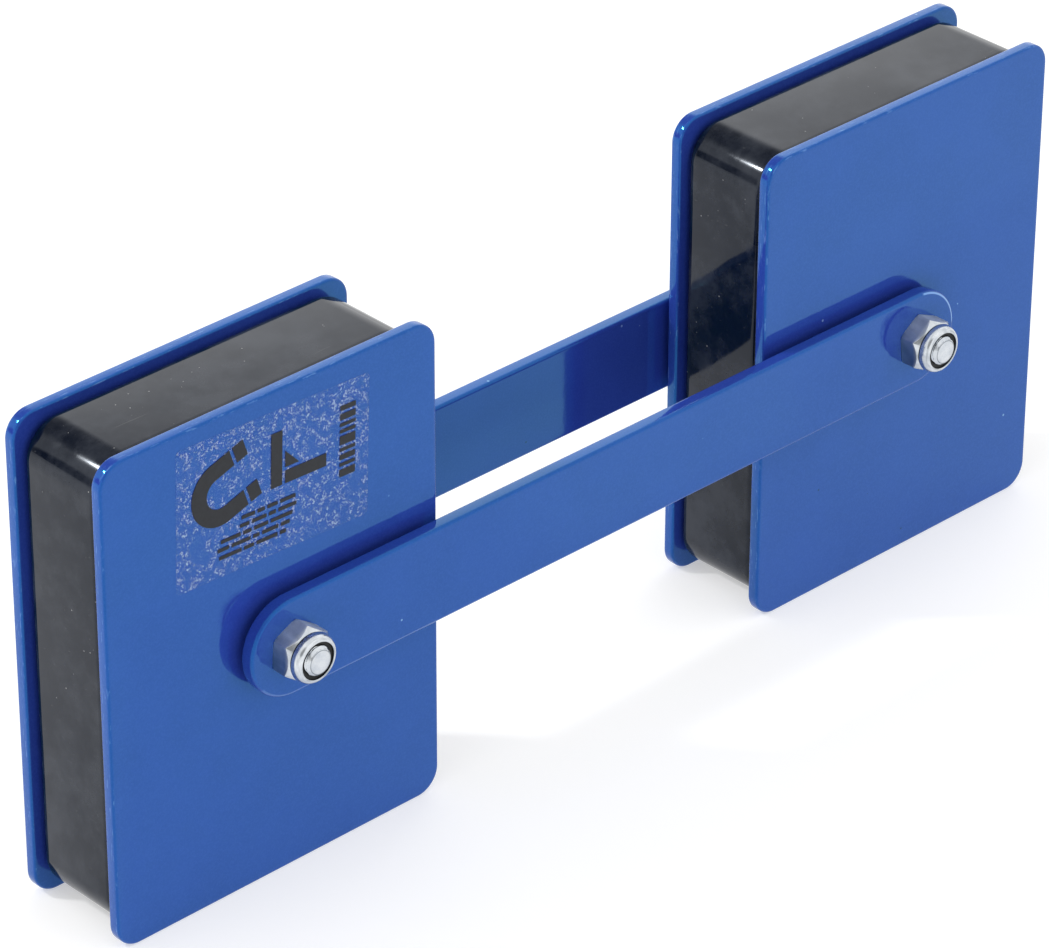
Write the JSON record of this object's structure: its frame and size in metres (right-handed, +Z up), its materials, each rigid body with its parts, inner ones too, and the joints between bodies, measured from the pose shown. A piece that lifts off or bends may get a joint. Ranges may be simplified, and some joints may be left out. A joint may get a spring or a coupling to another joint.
{
  "type": "twin welding magnet holder",
  "caption": "Welding magnet holder: flat magnet pods with steel pole plates that turn on bolts between parallel arms, to hold steel parts at any angle.",
  "frame": {"origin": "middle of the footprint, on the plane that the pods stand on", "axes": "+X along the arms from the left pod to the right pod, +Z up, the lock nuts face -Y and the bolt heads +Y"},
  "size_m": [0.241, 0.0464, 0.101],
  "materials": {
    "blue_powder_coat": "satin",
    "black_case": "gloss",
    "zinc_plate": "satin",
    "ferrite": "matte",
    "nylon": "matte",
    "clear_film": "satin"
  },
  "bodies": {
    "links": {"front_arm": "blue_powder_coat", "rear_arm": "blue_powder_coat", "left_bolt": "zinc_plate", "right_bolt": "zinc_plate", "left_nut": "zinc_plate", "right_nut": "zinc_plate", "left_nut_ring": "nylon", "right_nut_ring": "nylon", "left_front_washer": "zinc_plate", "left_rear_washer": "zinc_plate", "right_front_washer": "zinc_plate", "right_rear_washer": "zinc_plate"},
    "left_pod": {"left_front_plate": "blue_powder_coat", "left_rear_plate": "blue_powder_coat", "left_case": "black_case", "left_spacer_tube": "zinc_plate", "left_magnet_upper_outer": "ferrite", "left_magnet_upper_inner": "ferrite", "left_magnet_lower_outer": "ferrite", "left_magnet_lower_inner": "ferrite", "label_film": "clear_film"},
    "right_pod": {"right_front_plate": "blue_powder_coat", "right_rear_plate": "blue_powder_coat", "right_case": "black_case", "right_spacer_tube": "zinc_plate", "right_magnet_upper_outer": "ferrite", "right_magnet_upper_inner": "ferrite", "right_magnet_lower_outer": "ferrite", "right_magnet_lower_inner": "ferrite"}
  },
  "joints": [
    {"name": "left_pivot", "type": "hinge", "parent": "links", "child": "left_pod", "pos_m": [-0.0815, 0.0016, 0.0505], "axis": [0, 1, 0], "continuous": true},
    {"name": "right_pivot", "type": "hinge", "parent": "links", "child": "right_pod", "pos_m": [0.0815, 0.0016, 0.0505], "axis": [0, 1, 0], "continuous": true}
  ]
}
